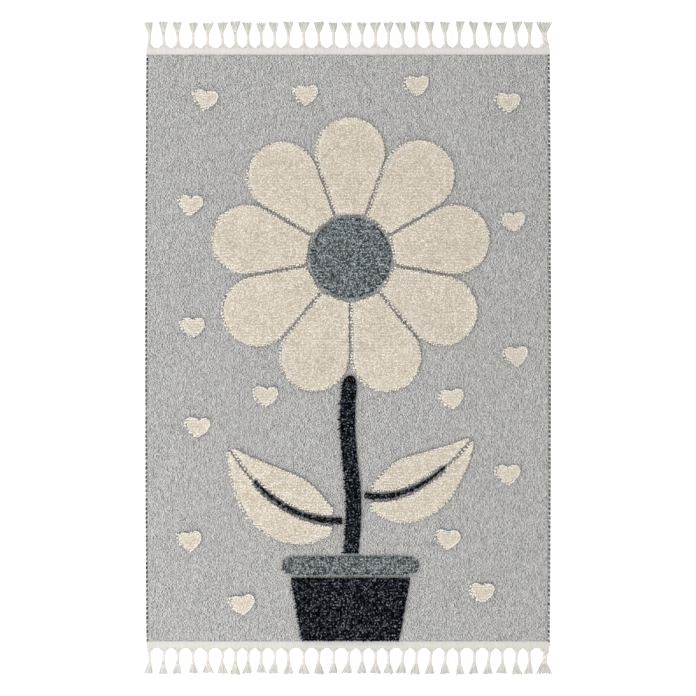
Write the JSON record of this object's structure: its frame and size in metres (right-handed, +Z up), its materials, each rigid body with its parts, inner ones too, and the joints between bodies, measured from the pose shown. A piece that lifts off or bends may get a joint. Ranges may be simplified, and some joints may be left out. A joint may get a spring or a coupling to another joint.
{
  "type": "kids rug",
  "caption": "Rectangular child's rug: flat-woven grey ground, raised cut-pile flower in a pot among hearts, whipped long edges and a band with knotted tassels at each end.",
  "frame": {"origin": "on the floor, under the middle of the rug with its fringes", "axes": "+Y along the rug towards the flower's head, +X across it, +Z up from the floor through the pile"},
  "size_m": [1.212, 1.9378, 0.0181],
  "materials": {
    "flat_weave": "flat weave in light and mid grey melange yarn, matt",
    "edge_yarn": "dark grey yarn whipped over the edge",
    "band_yarn": "off-white warp yarn, fine plain weave and plied tassels",
    "cream_pile": "cream cut pile, matt",
    "charcoal_pile": "charcoal cut pile, matt",
    "grey_pile": "mid grey cut pile, matt"
  },
  "bodies": {
    "root": {"ground_weave": "flat_weave", "edge_yarn_left": "edge_yarn", "edge_yarn_right": "edge_yarn", "fringe_top": "band_yarn", "fringe_bottom": "band_yarn", "heart_01": "cream_pile", "heart_02": "cream_pile", "heart_03": "cream_pile", "heart_04": "cream_pile", "heart_05": "cream_pile", "heart_06": "cream_pile", "heart_07": "cream_pile", "heart_08": "cream_pile", "heart_09": "cream_pile", "heart_10": "cream_pile", "heart_11": "cream_pile", "heart_12": "cream_pile", "heart_13": "cream_pile", "heart_14": "cream_pile", "heart_15": "cream_pile", "heart_16": "cream_pile", "petal_01": "cream_pile", "petal_02": "cream_pile", "petal_03": "cream_pile", "petal_04": "cream_pile", "petal_05": "cream_pile", "petal_06": "cream_pile", "petal_07": "cream_pile", "petal_08": "cream_pile", "petal_09": "cream_pile", "flower_centre": "grey_pile", "stem": "charcoal_pile", "leaf_left_upper": "cream_pile", "leaf_left_lower": "cream_pile", "leaf_left_rib": "charcoal_pile", "leaf_right_upper": "cream_pile", "leaf_right_lower": "cream_pile", "leaf_right_rib": "charcoal_pile", "pot_rim": "grey_pile", "pot_body": "charcoal_pile"}
  },
  "joints": []
}
